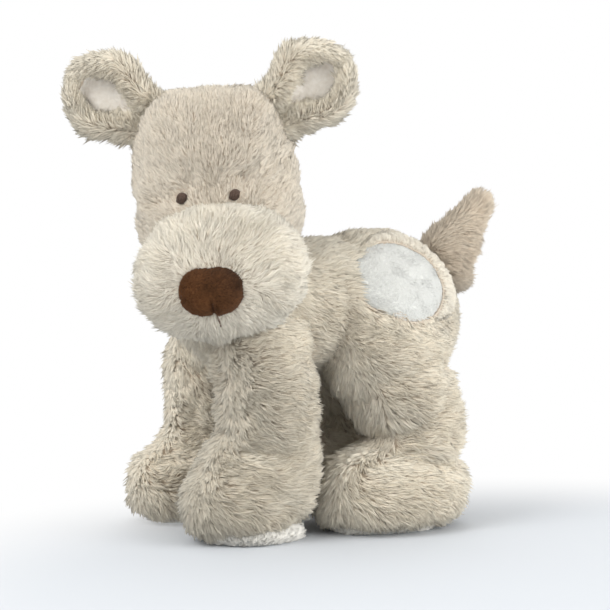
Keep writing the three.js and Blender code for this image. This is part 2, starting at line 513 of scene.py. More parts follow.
# ---- pile
def scatter(surface, count, weight=None):
    """Evenly spread random places on a surface, and the normals there."""
    share = surface.area if weight is None else surface.area * weight(surface.middles)
    total = np.cumsum(share)
    at = (np.arange(count) + rng.random(count)) / count * total[-1]
    pick = surface.triangles[np.minimum(np.searchsorted(total, at), len(total) - 1)]
    a, b = np.sqrt(rng.random(count)), rng.random(count)
    mix = np.stack([1 - a, a * (1 - b), a * b], 1)[:, :, None]
    return (mix * surface.points[pick]).sum(1), unit((mix * surface.normals[pick]).sum(1))


FIBRES = 6  # fibres in a tuft
SINK = 1.0  # how deep a fibre starts under the skin, in mm
BLADE = np.array([[0, 1, 2], [0, 2, 3], [0, 3, 1], [1, 3, 2]])  # root, two edges and tip


def pile(name, surface, material, flow, fibres, length, lean=67, width=0.145, spread=1.4, gather=0.32,
         ruffle=0.33, mess=0.9, weight=None, shade=None, floor=None):
    """Tufts of tapering fibres on a surface.

    flow gives the way the pile lies. length (mm) may be a number or a function of place.
    lean is the angle from upright, width half a fibre's breadth (mm), spread the radius of a tuft at
    its roots, gather how far its tips draw in, ruffle how far the tufts swing sideways, and mess how
    unevenly they lean and how much their lengths differ. weight gives how dense the pile is at a
    place and shade how pale, and no fibre reaches below floor (mm).
    """
    tufts = fibres // FIBRES
    root, normal = scatter(surface, tufts, weight)
    reach = length(root) if callable(length) else np.full(tufts, float(length))
    reach = reach * (1 + 0.12 * mess * waves(root, 6, 21))
    lay = unit(flow(root, normal))
    lay = lay - dot(lay, normal) * normal
    free = step(0, 0.6, np.linalg.norm(lay, axis=1))  # small where the pile parts and so stands up
    lay = unit(lay)
    reach = reach * (0.55 + 0.45 * free)
    across = np.cross(normal, lay)
    swing = (rng.normal(0, ruffle * 0.6, tufts) + ruffle * waves(root, 6, 3))[:, None]
    straight, sideways = np.cos(swing), np.sin(swing)
    lay, across = lay * straight + across * sideways, across * straight - lay * sideways
    tone = rng.normal(0.5, 0.1, tufts) + 0.12 * waves(root, 22, 5) + 0.08 * waves(root, 5, 6)
    if shade is not None:
        tone = tone + shade(root)
    tilt = lean * (0.6 + 0.4 * free) + mess * (rng.normal(0, 4, tufts) + 6 * waves(root, 7, 9))

    def each(values):
        return np.repeat(values, FIBRES, 0)

    n = tufts * FIBRES
    offset = rng.normal(0, spread * 0.6, (n, 2))
    root, normal, lay, across = each(root), each(normal), each(lay), each(across)
    shift = offset[:, :1] * lay + offset[:, 1:] * across
    size = each(reach * rng.normal(1, 0.1, tufts).clip(0.6, 1.35)) * rng.normal(1, 0.12, n).clip(0.6, 1.3)
    size = size[:, None]
    tilt = np.radians(each(tilt) + rng.normal(0, 5, n)).clip(0.1, 1.45)[:, None]
    start = root + shift - normal * SINK
    low = normal * np.cos(tilt * 0.55) + lay * np.sin(tilt * 0.55)
    high = normal * np.cos(tilt * 1.15) + lay * np.sin(tilt * 1.15)
    middle = start + low * (size * 0.4 + SINK) - shift * gather * 0.35
    end = middle + high * size * 0.6 - shift * gather * 0.65
    flat = unit(np.cross(end - start, normal))
    roll = rng.normal(0, 0.4, (n, 1))
    edge = flat * np.cos(roll) + normal * np.sin(roll)
    girth = width * rng.uniform(0.8, 1.3, (n, 1))
    round_tuft = unit(normal + 0.35 * shift / spread)
    shading = [round_tuft, round_tuft + 0.3 * edge, round_tuft - 0.3 * edge, round_tuft + 0.3 * high]
    shading = unit(np.stack(shading, 1)).reshape(-1, 3)
    points = np.stack([start, middle + girth * edge, middle - girth * edge, end], 1)
    if floor is not None:
        points[:, :, 2] = np.maximum(points[:, :, 2], floor)
    faces = (np.arange(n) * 4)[:, None, None] + BLADE
    tone = (each(tone) + rng.normal(0, 0.05, n)).clip(0.03, 0.97)
    across_uv = np.array([0, -1, 1, 0])[BLADE] * 0.004
    height = np.array([0.02, 0.42, 0.42, 0.98])[BLADE]
    uv = np.stack([tone[:, None, None] + across_uv, np.broadcast_to(height, (n, 4, 3))], -1)
    return mesh_object(name, points.reshape(-1, 3), faces.reshape(-1, 3), material, uv, shading)


# ---- pieces and what they ride on
pieces = []


def keep(obj, *bodies, replaces=(), slot="plush"):
    """Notes what a finished piece rides on: one body, or two with the bend's start and end."""
    pieces.append((obj, bodies, replaces, slot))
    return obj


# ---- body
FLOOR_GAP = 4.5  # how high a leg's skin stands above the floor
SPLIT = 94  # height where the skins of the legs are sewn to the torso's
KNEE = 52  # height of the crease above a hind foot
BETWEEN = -9.5  # where the front legs end and the hind legs begin, along the torso
LEG_MIDDLE = 33  # from the middle of the torso to the middle of a leg

# A front paw reaches back from its hip by HEEL and forward by SHIN and its own toe.
HEEL, SHIN = 22, 26
TOE = {"front_left": 17.5, "front_right": 25}
SLIM = {"front_left": 2.5, "front_right": -4}  # how far the front of each front leg is drawn back


def leg_lumps(leg):
    """A front leg is a column with a paw; a hind leg is a thigh, a shank and a long foot."""
    x, y, _ = HIPS_IN_BODY[leg]
    if leg.startswith("front"):
        slim = SLIM[leg]
        column = [
            ((x, y + slim / 2, z), (22.3 - 0.025 * (z - 34), 25 - slim / 2, 34))
            for z in (34, 46, 58, 70, 82)
        ]
        reach = (HEEL + SHIN + TOE[leg]) / 2
        middle = y + HEEL - reach
        paw = [((x, middle, z), (22, reach, tall)) for z, tall in ((16, 16), (24, 22))]
        ankle = [((x, y - 4, 36), (22.3, 31, 26))]
        return column + paw + ankle + [((x * 0.92, y + 1, 98), (22, 25 - slim / 4, 34))]
    thigh = [((x * 0.9, y - 8, 98), (23, 32, 35)), ((x * 0.95, y - 1, 75), (25, 27, 26))]
    shank = [((x, y + 7, 55), (23.5, 25, 28))]
    foot = [((x, y - 6.5, 16), (25.5, 41.5, 16)), ((x, y - 6, 25), (25.5, 40.5, 23))]
    return thigh + shank + foot


torso_lumps = [
    ((0, -31, 120), (43, 37, 36)),
    ((0, 6, 120), (42, 60, 33)),
    ((0, 40, 116), (46, 44, 41)),
]
all_lumps = torso_lumps + [one for leg in LEGS for one in leg_lumps(leg)]
body_skin = form("body_skin", BODY, all_lumps, 4.5, 5, BACKING)

PATCH = facing((0.86, 0.2, 0.46), BODY @ Vector((42, 42.5, 139.5)))
PATCH_RADII = (27, 25.5)
STRIP_START, STRIP_END = math.radians(-72), math.radians(120)
STRIP_WIDTH = 0.54  # at its widest, in patch radii
STRIP_WIDEST = math.radians(15)
STRIP_RIBS = 48  # in a whole turn


def strip_out(angle):
    """The strip's outer edge, in patch radii: widest beside the tail, running out at both ends."""
    lower = step(STRIP_START, STRIP_WIDEST - 0.4, angle)
    upper = step(STRIP_END, STRIP_WIDEST + 0.4, angle)
    return 1.02 + STRIP_WIDTH * lower * upper


def patch_ring(points):
    """1 on the edge of the patch, less inside it."""
    p = local(points, PATCH)
    ring = np.hypot(p[:, 0] / PATCH_RADII[0], p[:, 1] / PATCH_RADII[1])
    return np.where(p[:, 2] > -25, ring, 9.0)


def patch_angle(points):
    """The angle round the patch, from its frame's X axis."""
    p = local(points, PATCH)
    return np.arctan2(p[:, 1], p[:, 0])


def flank_seam(points):
    """1 on the seam that runs down each flank between the front and rear cloth."""
    p = local(points, BODY)
    line = 2 + 0.12 * (p[:, 2] - 110)
    upright = step(80, 95, p[:, 2]) * step(145, 120, p[:, 2])
    return bump(p[:, 1], line, 4) * step(15, 30, np.abs(p[:, 0])) * upright


def leg_fronts(points):
    """1 on the seam down the front of each front leg."""
    p = local(points, BODY)
    total = np.zeros(len(p))
    for leg in LEGS[:2]:
        total += bump(p[:, 0], HIPS_IN_BODY[leg].x, 3) * step(-45, -55, p[:, 1]) * step(112, 96, p[:, 2])
    return total


def knees(points):
    """1 in the crease above each hind foot."""
    p = local(points, BODY)
    line = KNEE + 0.3 * (p[:, 1] - 20)
    return bump(p[:, 2], line, 5) * step(5, 12, p[:, 1]) * step(48, 30, p[:, 1])


def body_seams(points):
    """How firmly the body's skin is held: most at its seams and feet."""
    p = local(points, BODY)
    edge = bump(patch_ring(points), 1.0, 0.08)
    low = step(10, 6, p[:, 2])
    under = step(88, 84, p[:, 2]) * step(10, 5, np.abs(p[:, 0]))
    return np.clip(edge + low + under + flank_seam(points) + leg_fronts(points) + knees(points), 0, 1)


# The seams are drawn in before the stuffing goes in.
drawn = surface_of(body_skin)
depth = 1.4 * flank_seam(drawn.points) + 2.5 * knees(drawn.points) + 0.5 * leg_fronts(drawn.points)
set_points(body_skin, drawn.points - drawn.normals * depth[:, None])
stuffed(body_skin, body_seams, 2.5)
body = surface_of(body_skin)
body = Surface(np.maximum(body.points, (-999, -999, FLOOR_GAP)), body.triangles)
bpy.data.objects.remove(body_skin)
body_tree = body.tree()

place = local(body.middles, BODY)
low_part = place[:, 2] < SPLIT


def body_flow(points, normals):
    """Back along the flanks and the legs, parting where the cloth faces forward."""
    p = local(points, BODY)
    flow = np.zeros_like(p)
    flow[:, 1] = 1
    flank = step(96, 130, p[:, 2]) * step(150, 120, p[:, 2])
    flow[:, 2] = -0.1 - 0.55 * flank + 0.22 * waves(points, 26, 8)
    front = (1 - normals[:, 0] ** 2).clip(0, 1) ** 1.5 * step(0.35, -0.2, normals[:, 1])
    front *= step(112, 96, p[:, 2])
    low = step(26, 8, p[:, 2])
    hind = step(-12, -2, p[:, 1])
    flow[:, 2] -= 0.8 * low
    flow[:, 1] -= 1.5 * front
    apart = np.tanh((np.abs(p[:, 0]) - LEG_MIDDLE) / 4) * np.sign(p[:, 0])
    flow[:, 0] += 0.8 * front * apart * (1 - hind)
    flow[:, 2] -= (0.35 + 0.4 * low + 0.5 * hind) * front
    ring, angle = patch_ring(points), patch_angle(points)
    below = step(1.45, 1.0, ring) * step(-2.7, -2.2, angle) * step(0.2, -0.3, angle)
    return flow + below[:, None] * (points - np.array(PATCH.translation)) / PATCH_RADII[0] * 1.2


def body_length(points):
    """Longer on the legs, shorter in the seams, on the back and round the patch."""
    p = local(points, BODY)
    reach = 6.8 + 0.9 * step(100, 60, p[:, 2])
    reach *= 1 - 0.25 * flank_seam(points) - 0.3 * knees(points)
    reach *= 1 - 0.35 * step(148, 158, p[:, 2])
    bare = step(-5, -25, p[:, 1]) * step(-78, -62, p[:, 1]) * step(10, 30, p[:, 0])  # here the pad shows
    reach *= 1 - 0.5 * bare * step(20, 8, p[:, 2])
    ring, angle = patch_ring(points), patch_angle(points)
    strip = step(0.25, 0.05, ring - strip_out(angle)) * step(-1.2, -0.9, angle) * step(2.4, 2.1, angle)
    edge = step(1.3, 1.0, ring) * step(-2.7, -2.2, angle) * step(0.0, -0.4, angle)
    return reach * (1 - 0.4 * strip - 0.35 * edge)


def body_weight(points):
    """Less pile where it can't be seen, and none on the patch and its strip."""
    p = local(points, BODY)
    inner = step(20, 8, np.abs(p[:, 0])) * step(95, 85, p[:, 2])
    ring = patch_ring(points)
    angle = patch_angle(points)
    strip = (ring < strip_out(angle) - 0.12) & (angle > STRIP_START) & (angle < STRIP_END)
    ahead = 0.14 * step(2.2, 2.7, np.abs(angle))  # the pile in front lies over the patch's edge
    free = np.where((ring < 0.97 + ahead) | strip, 0.0, 1.0)
    return (1 - 0.3 * inner) * free


def body_shade(points):
    """Paler with painted light on the hind feet and the right front leg.

    Darker with painted shade where the pile parts, along the back and on the left front leg, and darker on
    the rump in its own colour.
    """
    p = local(points, BODY)
    behind = step(60, 80, p[:, 1]) * step(90, 110, p[:, 2])
    # painted shade in the seams and creases where the pile parts
    painted_seam_shade = 0.12 * flank_seam(points) + 0.15 * knees(points) + 0.15 * leg_fronts(points)
    # painted shade along the top of the back
    above = 0.36 * step(128, 150, p[:, 2]) * step(38, 18, p[:, 1])
    front = step(-5, -15, p[:, 1]) * step(110, 90, p[:, 2])
    # painted shade on the left front leg
    near = 0.25 * front * step(0, 10, p[:, 0])
    # painted light on the right front leg, which lies in the shade of the muzzle and the left leg
    far = 0.35 * front * step(0, -10, p[:, 0])
    # painted light on the hind feet
    feet = 0.2 * step(0, 8, p[:, 1]) * step(60, 45, p[:, 2])
    return feet + far - near - painted_seam_shade - above - 0.2 * behind


def of_leg(leg, p):
    """Whether each point, in the body's frame, is on a leg's side and end of the body."""
    hip = HIPS_IN_BODY[leg]
    return (p[:, 0] * hip.x > 0) & ((p[:, 1] - BETWEEN) * (hip.y - BETWEEN) > 0)


keep(part_of("torso_skin", body, ~low_part, BACKING), "torso", replaces=("torso_cover", "torso_stuffing"))
upper_body = body.only(~low_part)
ahead = local(upper_body.middles, BODY)[:, 1] < 5
for end, half in (("front", ahead), ("rear", ~ahead)):
    tufts = pile(f"torso_pile_{end}", upper_body.only(half), PILE, body_flow, 44000, body_length,
                 weight=body_weight, shade=body_shade)
    keep(tufts, "torso")

for leg in LEGS:
    own = low_part & of_leg(leg, place)
    bend = ((0, 0, 88), (0, 0, 45))
    skin = part_of(f"leg_{leg}_skin", body, own, BACKING)
    keep(skin, "torso", f"leg_{leg}", *bend, replaces=(f"leg_{leg}_cover", f"leg_{leg}_stuffing"))
    surface = body.only(own & (body.middles[:, 2] > FLOOR_GAP + 0.5))
    fibres = 44000 if leg.endswith("left") else 30000
    tufts = pile(f"leg_{leg}_pile", surface, PILE, body_flow, fibres, body_length, weight=body_weight,
                 shade=body_shade, floor=1.0)
    keep(tufts, "torso", f"leg_{leg}", *bend)

# ---- patch, strip and belly
patch = draped("patch_fleece", body_tree, PATCH, PATCH_RADII, FLEECE,
               lambda r, a: 2.8 * (1 - r**8) - 0.3, evened=12)
keep(patch, "torso", replaces=("rump_patch",), slot="fleece")


def out_from(matrix, up=0.0):
    """Pile that lies outward from a frame's Z axis."""
    def flow(points, normals):
        p = local(points, matrix)
        p[:, 2] = up
        return turned(p, matrix)
    return flow


def along_x(matrix, wander):
    """Pile that lies along a frame's X axis, wandering a little."""
    def flow(points, normals):
        p = np.zeros_like(points)
        p[:, 0] = 1
        p[:, 1] = wander * waves(points, 5, 12)
        return turned(p, matrix)
    return flow


nap = pile("patch_nap", surface_of(patch), PILE_WHITE, along_x(PATCH, 1.0), 30000, 1.4, lean=58,
           width=0.18, spread=1.2, gather=0.1, ruffle=0.1, mess=0.2,
           weight=lambda points: np.where(patch_ring(points) < 0.98, 1.0, 0.0))
keep(nap, "torso", slot="fleece")
edge_path = []
SEAM_POINTS = 96
SEAM_RADII = (PATCH_RADII[0] * 1.015, PATCH_RADII[1] * 1.015)
for k in range(SEAM_POINTS):
    angle = 2 * math.pi * k / SEAM_POINTS
    x, y = SEAM_RADII[0] * math.cos(angle), SEAM_RADII[1] * math.sin(angle)
    hit, normal = dropped(body_tree, PATCH, x, y, 40)
    edge_path.append(hit + normal * 0.5)
keep(tube("patch_seam", edge_path, 0.6, SEAM, closed=True), "torso")


def strip_lift(share, angle):
    """The strip swells across its width and is puckered into ribs by its seam."""
    swell = (1 - (2 * share - 1) ** 4) * float(step(0, 0.45, strip_out(angle) - 1.02))
    rib = math.sin(angle * STRIP_RIBS + 2 * math.sin(angle * 7))
    return 0.2 + 1.0 * swell + 0.6 * rib * (1 - 0.75 * share) * swell


strip = draped("gusset_strip", body_tree, PATCH, PATCH_RADII, BACKING, strip_lift, inner=1.0,
               outer=lambda angle: float(strip_out(angle)), start=STRIP_START, end=STRIP_END,
               rings=10, around=270)
keep(strip, "torso")
nap = pile("gusset_strip_nap", surface_of(strip), PILE_PALE, out_from(PATCH), 18000, 2.0, lean=60,
           width=0.15, weight=lambda points: np.where(patch_ring(points) > 1.03, 1.0, 0.0))
keep(nap, "torso")
UNDER = axes(Vector((0, 1, 0)), Vector((1, 0, 0)), Vector((0, 0, -1)), BODY @ Vector((0, 5, 88)))
belly = draped("belly_panel", body_tree, UNDER, (17, 11), BELLY, lambda r, a: 0.9 - 0.5 * r**6,
               height=22)
keep(belly, "torso", replaces=("belly_gusset",), slot="lining")

# ---- head
skull_lumps = [
    ((-1.5, 0, 38), (42, 37, 38)),
    ((-2.3, 0, 54), (42.4, 34, 30)),
    ((-2, 0, 67), (40.7, 34, 35.5)),
    ((16, 0, 79.5), (20.5, 27.5, 22)),
    ((-17, 0, 80.5), (20.5, 27.5, 22)),
]


def brow(points):
    """1 in the shallow seam across the forehead."""
    p = local(points, HEAD)
    line = 78 - 0.004 * p[:, 0] ** 2
    return bump(p[:, 2], line, 4) * step(0, -12, p[:, 1])


def head_seams(points):
    """How firmly the head's skin is held: along the brow's seam and round the neck."""
    p = local(points, HEAD)
    return np.clip(0.7 * brow(points) + step(14, 6, p[:, 2]), 0, 1)


head_skin = form("head_skin", HEAD, skull_lumps, 4.5, 4, BACKING)
stuffed(head_skin, head_seams, 2.0)
keep(head_skin, "head", replaces=("head_cover", "head_stuffing"))
head = surface_of(head_skin)
head_tree = head.tree()
MUZZLE_AT = Vector((2, -36, 9))
muzzle_lumps = [
    (MUZZLE_AT, (39.5, 22.5, 33.5)),
    (MUZZLE_AT + Vector((13.5, 2, 1)), (27.5, 20, 28)),
    (MUZZLE_AT + Vector((-14.3, 2, -3)), (28, 20, 28)),
]
muzzle_skin = form("muzzle_skin", HEAD, muzzle_lumps, 4.0, 3, BACKING)


def muzzle_seams(points):
    """1 on the seam below the nose."""
    p = local(points, HEAD)
    return np.clip(bump(p[:, 0], 0, 2.5) * step(-2, -8, p[:, 2]) * step(-45, -52, p[:, 1]), 0, 1)


stuffed(muzzle_skin, muzzle_seams, 2.0)
keep(muzzle_skin, "head", replaces=("muzzle_cover", "muzzle_stuffing"))
muzzle = surface_of(muzzle_skin)
muzzle_tree = muzzle.tree()


def on_skin(tree, matrix, x, z, out=0.0):
    """The place on a skin that is straight behind (x, z) of a face frame, moved out by some mm."""
    hit, normal, _, _ = tree.ray_cast(matrix @ Vector((x, -200, z)), matrix.to_3x3() @ Vector((0, 1, 0)))
    return matrix.inverted() @ (hit + normal * out)


NOSE_AT = on_skin(muzzle_tree, HEAD, -1.2, 2)
NOSE_RADII = (16.1, 10.5, 11.8)
EYE_SIDE = {"left": 12.2, "right": -14.6}
EYE_HEIGHT = 49
EYES = {side: on_skin(head_tree, HEAD, x, EYE_HEIGHT, 1.5) for side, x in EYE_SIDE.items()}


def nose_ring(points):
    """1 on the edge of the nose, less inside it."""
    p = local(points, HEAD)
    across = np.abs(p[:, 0] - NOSE_AT.x) / NOSE_RADII[0]
    up = np.abs(p[:, 2] - NOSE_AT.z) / NOSE_RADII[2]
    return (across**2.5 + up**2.5) ** 0.4


def head_flow(points, normals):
    """Up and outward from the face, then down the back of the head."""
    p = local(points, HEAD)
    flow = p - np.array((0, -34, 12))
    flow[:, 1] = 0.5 * np.abs(flow[:, 2])
    flow[:, 2] -= 1.8 * flow[:, 2] * step(0, 25, p[:, 1])
    flow = unit(flow)
    for axis in range(3):
        flow[:, axis] += 0.2 * waves(points, 9, 40 + axis)
    return turned(flow, HEAD)


def muzzle_flow(points, normals):
    """Outward from the nose, ruffled, and drooping a little."""
    flow = unit(local(points, HEAD) - np.array(NOSE_AT))
    for axis in range(3):
        flow[:, axis] += 0.5 * waves(points, 8, 30 + axis)
    flow[:, 2] -= 0.1
    return turned(flow, HEAD)


def clear_of_face(points):
    """0 where the nose and the eyes are, 1 elsewhere."""
    p = local(points, HEAD)
    free = np.where((nose_ring(points) > 0.95) | (p[:, 1] > -40), 1.0, 0.0)
    for eye in EYES.values():
        near = np.hypot(p[:, 0] - eye.x, p[:, 2] - eye.z)
        free *= np.where((near > 2.0) | (p[:, 1] > 0), 1.0, 0.0)
    return free


def off_muzzle(points):
    """0 for the part of the head that the muzzle covers."""
    p = np.abs(local(points, HEAD) - np.array(MUZZLE_AT)) / np.array((44, 25, 34))
    return np.where((p**2.6).sum(1) > 0.95, 1.0, 0.0) * clear_of_face(points)


def off_head(points):
    """0 for the part of the muzzle that lies against the head."""
    p = local(points, HEAD)
    return np.where(p[:, 1] < -18, 1.0, 0.0) * clear_of_face(points)


def head_length(points):
    """Short on the face, longer behind, and shortest round the eyes."""
    p = local(points, HEAD)
    reach = 4.7 + 2.3 * step(-10, 20, p[:, 1]) - 0.8 * brow(points)
    for eye in EYES.values():
        below = np.hypot(p[:, 0] - eye.x, (p[:, 2] - eye.z) * 0.7 + 2)
        reach *= 1 - 0.6 * step(9, 4, below) * step(0, -10, p[:, 1])
    return reach


def head_shade(points):
    """Painted light and shade in faint bands where the pile of the forehead is crimped, and painted shade
    along its seam.
    """
    p = local(points, HEAD)
    # painted light and shade in bands across the forehead
    painted_crimp_shading = np.sin(1.7 * p[:, 2] + 2.2 * waves(points, 14, 60)) * step(0, -14, p[:, 1])
    return -0.05 + 0.08 * painted_crimp_shading - 0.2 * brow(points)


def muzzle_length(points):
    """Short beside the nose and at the top of the muzzle."""
    p = local(points, HEAD)
    return 3.5 + 3.3 * step(1.0, 2.0, nose_ring(points)) - 2.0 * step(36, 42, p[:, 2])


faced = local(head.middles, HEAD)[:, 1] < 4
for end, half, fibres in (("front", faced, 49000), ("rear", ~faced, 36000)):
    tufts = pile(f"head_pile_{end}", head.only(half), PILE_FACE, head_flow, fibres, head_length,
                 weight=off_muzzle, lean=71, width=0.135, spread=1.1, mess=0.7, shade=head_shade)
    keep(tufts, "head")
tufts = pile("muzzle_pile", muzzle, PILE_PALE, muzzle_flow, 49000, muzzle_length, weight=off_head, lean=64)
keep(tufts, "head")

nose_lumps = [
    (NOSE_AT + Vector((x, 1, z)), (NOSE_RADII[0] - 3.5, NOSE_RADII[1], NOSE_RADII[2] - 1.2))
    for x in (-3.5, 3.5)
    for z in (-1.2, 1.2)
]
nose = form("nose_pad", HEAD, nose_lumps, 1.0, 5, VELOUR)
unpinched = surface_of(nose)
from_nose = local(unpinched.points, HEAD) - np.array(NOSE_AT)
pinch = 1.4 * bump(from_nose[:, 0], 0.5, 1.3) * step(-1, -8, from_nose[:, 2])
set_points(nose, unpinched.points - unpinched.normals * pinch[:, None])
keep(nose, "head", replaces=("nose",), slot="nose_velour")


def nose_shade(points):
    """Painted shade: darker at the upper left of the dog's face and in the crease of its stitch, lighter
    below.
    """
    p = local(points, HEAD) - np.array(NOSE_AT)
    # painted shade in the crease of the stitch below the nose
    crease = bump(p[:, 0], 0.5, 1.0) * step(-1, -8, p[:, 2])
    return 0.02 - 0.026 * p[:, 0] - 0.018 * p[:, 2] - 0.2 * crease


NOSE_FRAME = HEAD @ Matrix.Translation(NOSE_AT) @ Matrix.Rotation(math.radians(90), 4, "X")
nap = pile("nose_nap", surface_of(nose), PILE_VELOUR, along_x(NOSE_FRAME, 0.9), 18000, 2.0, lean=60,
           width=0.15, spread=0.8, gather=0.5, shade=nose_shade,
           weight=lambda points: step(NOSE_AT.y + 2, NOSE_AT.y - 1, local(points, HEAD)[:, 1]))
keep(nap, "head", slot="nose_velour")

# Nine stitches lie on each eye, the outer ones shorter.
for side, at in EYES.items():
    eye = form(f"eye_{side}_dot", HEAD, [(at, (2.5, 1.3, 2.7))], 0.5, 2, EYE_THREAD)
    threads = [eye]
    for k in range(-4, 5):
        half = math.sqrt(max(0.3, 1 - (k / 4.6) ** 2)) * 2.9
        path = []
        for t in (-1, -0.6, -0.2, 0.2, 0.6, 1):
            out = (1.8 + 0.25 * (k % 2)) * math.sqrt(1 - 0.8 * t * t) * (1 - (k / 8) ** 2)
            path.append(HEAD @ (at + Vector((k * 0.6 + 0.4 * t, -out, half * t))))
        threads.append(tube("stitch", path, 0.4, EYE_THREAD))
    keep(joined(f"eye_{side}_embroidery", threads), "head", replaces=(f"eye_{side}",), slot="thread")

mouth_path = []
for k in range(8):
    z = NOSE_AT.z - NOSE_RADII[2] + 2 - 1.3 * k
    mouth_path.append(HEAD @ on_skin(muzzle_tree, HEAD, 0.5 + 0.12 * k, z, 1.6))
keep(tube("mouth_thread", mouth_path, 0.45, THREAD), "head", replaces=("mouth_stitch",), slot="thread")

NECK = Matrix.Translation(pivot("neck_turn"))
neck_skin = form("neck_skin", NECK, [((0, 0, -2), (22, 22, 20))], 3.0, 3, BACKING)
keep(neck_skin, "neck", replaces=("neck_stuffing",))

# ---- ears
EAR_MIDDLE = 25.5  # from the root to the middle of the ear's oval
EAR_RIM = (16.6, 19)  # half width and half length of the line of the rim
EAR_LINING = (9.6, 16)
RIM_LUMPS = 52
EAR_DROP = {"left": 3.5, "right": 0.8}  # how far each ear has sunk on its root


def ear_lumps(upper):
    """A cup: a thin back, and a thick rim, pinched at the root and rolled forward on its upper side."""
    back = [
        ((0, 3.5, EAR_MIDDLE - 1), (14, 2.8, 19)),
        ((0, 1, 2), (13, 6, 9)),
        ((-9 * upper, 0, 11), (7, 4.5, 8)),
        ((8 * upper, 0, 11), (7, 4.5, 11)),
    ]
    rim = []
    for k in range(RIM_LUMPS):
        angle = 2 * math.pi * k / RIM_LUMPS
        z = EAR_MIDDLE - EAR_RIM[1] * math.cos(angle)
        pinched = 0.78 + 0.22 * float(step(6, 26, np.array(z)))
        across = math.sin(angle)
        rolled = max(0.0, upper * across)
        size = 3.7 + 1.1 * rolled
        y = -2 - 2 * abs(across) - 1.5 * rolled
        rim.append(((EAR_RIM[0] * across * pinched, y, z), (size, size, size)))
    return back + rim


def lining_out(angle):
    """The edge of an ear's lining, in its radii: an egg with its narrow end at the root."""
    return 1 + 0.5 * np.sin(angle) * np.cos(angle) ** 2


def lining_ring(points, front):
    """1 on the edge of an ear's lining, less inside it."""
    p = local(points, front)
    x, y = p[:, 0] / EAR_LINING[0], p[:, 1] / EAR_LINING[1]
    return np.hypot(x, y) / lining_out(np.arctan2(y, x))


for side, frame_at_root in EARS.items():
    matrix = Matrix.Translation((0, 0, -EAR_DROP[side])) @ frame_at_root
    bend = (matrix @ Vector((0, 0, -3)), matrix @ Vector((0, 0, 9)))
    upper = math.copysign(1, (matrix.to_3x3() @ Vector((1, 0, 0))).z)
    skin = form(f"ear_{side}_skin", matrix, ear_lumps(upper), 1.7, 4, BACKING)
    keep(skin, "head", f"ear_{side}", *bend, replaces=(f"ear_{side}_cover",))
    surface = surface_of(skin)
    front = axes(
        matrix.to_3x3() @ Vector((1, 0, 0)),
        matrix.to_3x3() @ Vector((0, 0, 1)),
        matrix.to_3x3() @ Vector((0, -1, 0)),
        matrix @ Vector((0, 0, EAR_MIDDLE - 0.5)),
    )
    lining = draped(f"ear_{side}_velour", surface.tree(), front, EAR_LINING, LINING,
                    lambda r, a: 1.5 - 1.0 * r**6 + 0.25 * math.sin(a * 9) * r * r,
                    outer=lambda angle: float(lining_out(angle)))
    keep(lining, "head", f"ear_{side}", *bend, replaces=(f"ear_{side}_lining",), slot="lining")

    def ear_flow(points, normals, matrix=matrix, front=front):
        """Outward and from root to tip, but inward from the rim onto the lining."""
        p = local(points, matrix) - np.array((0, 0, EAR_MIDDLE - 6))
        inward = step(2.1, 1.5, lining_ring(points, front)) * step(2, -1, p[:, 1])
        p[:, 1] *= 0.2
        p[:, 2] = np.maximum(p[:, 2] + 9, 6)
        p[:, 0] *= 1 - 2.2 * inward
        p[:, 2] *= 1 - 0.9 * inward * step(14, 24, p[:, 2])
        return turned(p, matrix)

    def off_lining(points, front=front):
        """0 on the lining, 1 elsewhere."""
        inside = (lining_ring(points, front) < 1.05) & (local(points, front)[:, 2] > -3.5)
        return np.where(inside, 0.0, 1.0)

    def ear_length(points, front=front):
        """Short beside the lining."""
        return 4.2 + 2.8 * step(0.9, 1.8, lining_ring(points, front))

    tufts = pile(f"ear_{side}_pile", surface, PILE, ear_flow, 24000, ear_length, weight=off_lining)
    keep(tufts, "head", f"ear_{side}", *bend)

# ---- tail
tail_lumps = [
    ((0, 0.4 + 1.0 * t, 34.5 * t), (13.3 - 7.5 * t, 13.3 - 7.5 * t, 12 - 5 * t))
    for t in (0, 0.2, 0.4, 0.6, 0.8, 1)
]
tail_lumps.append(((0, 3, -3), (14, 14, 10)))
tail_skin = form("tail_skin", TAIL, tail_lumps, 3.0, 4, BACKING)
stuffed(tail_skin, lambda points: step(2, -4, local(points, TAIL)[:, 2]), 1.0)
tail_bend = (TAIL @ Vector((0, 0, -2)), TAIL @ Vector((0, 0, 14)))
keep(tail_skin, "torso", "tail", *tail_bend, replaces=("tail_cover", "tail_stuffing"))


def tail_flow(points, normals):
    """Back round the tail from its front, and up at its tip."""
    p = local(points, TAIL)
    flow = np.zeros_like(p)
    flow[:, 1] = 1
    flow[:, 2] = 0.25 + 2 * step(22, 36, p[:, 2]) + 0.3 * waves(points, 7, 50)
    return turned(flow, TAIL)


tufts = pile("tail_pile", surface_of(tail_skin), PILE_SHORT, tail_flow, 20000, 6.5, lean=62)
keep(tufts, "torso", "tail", *tail_bend)

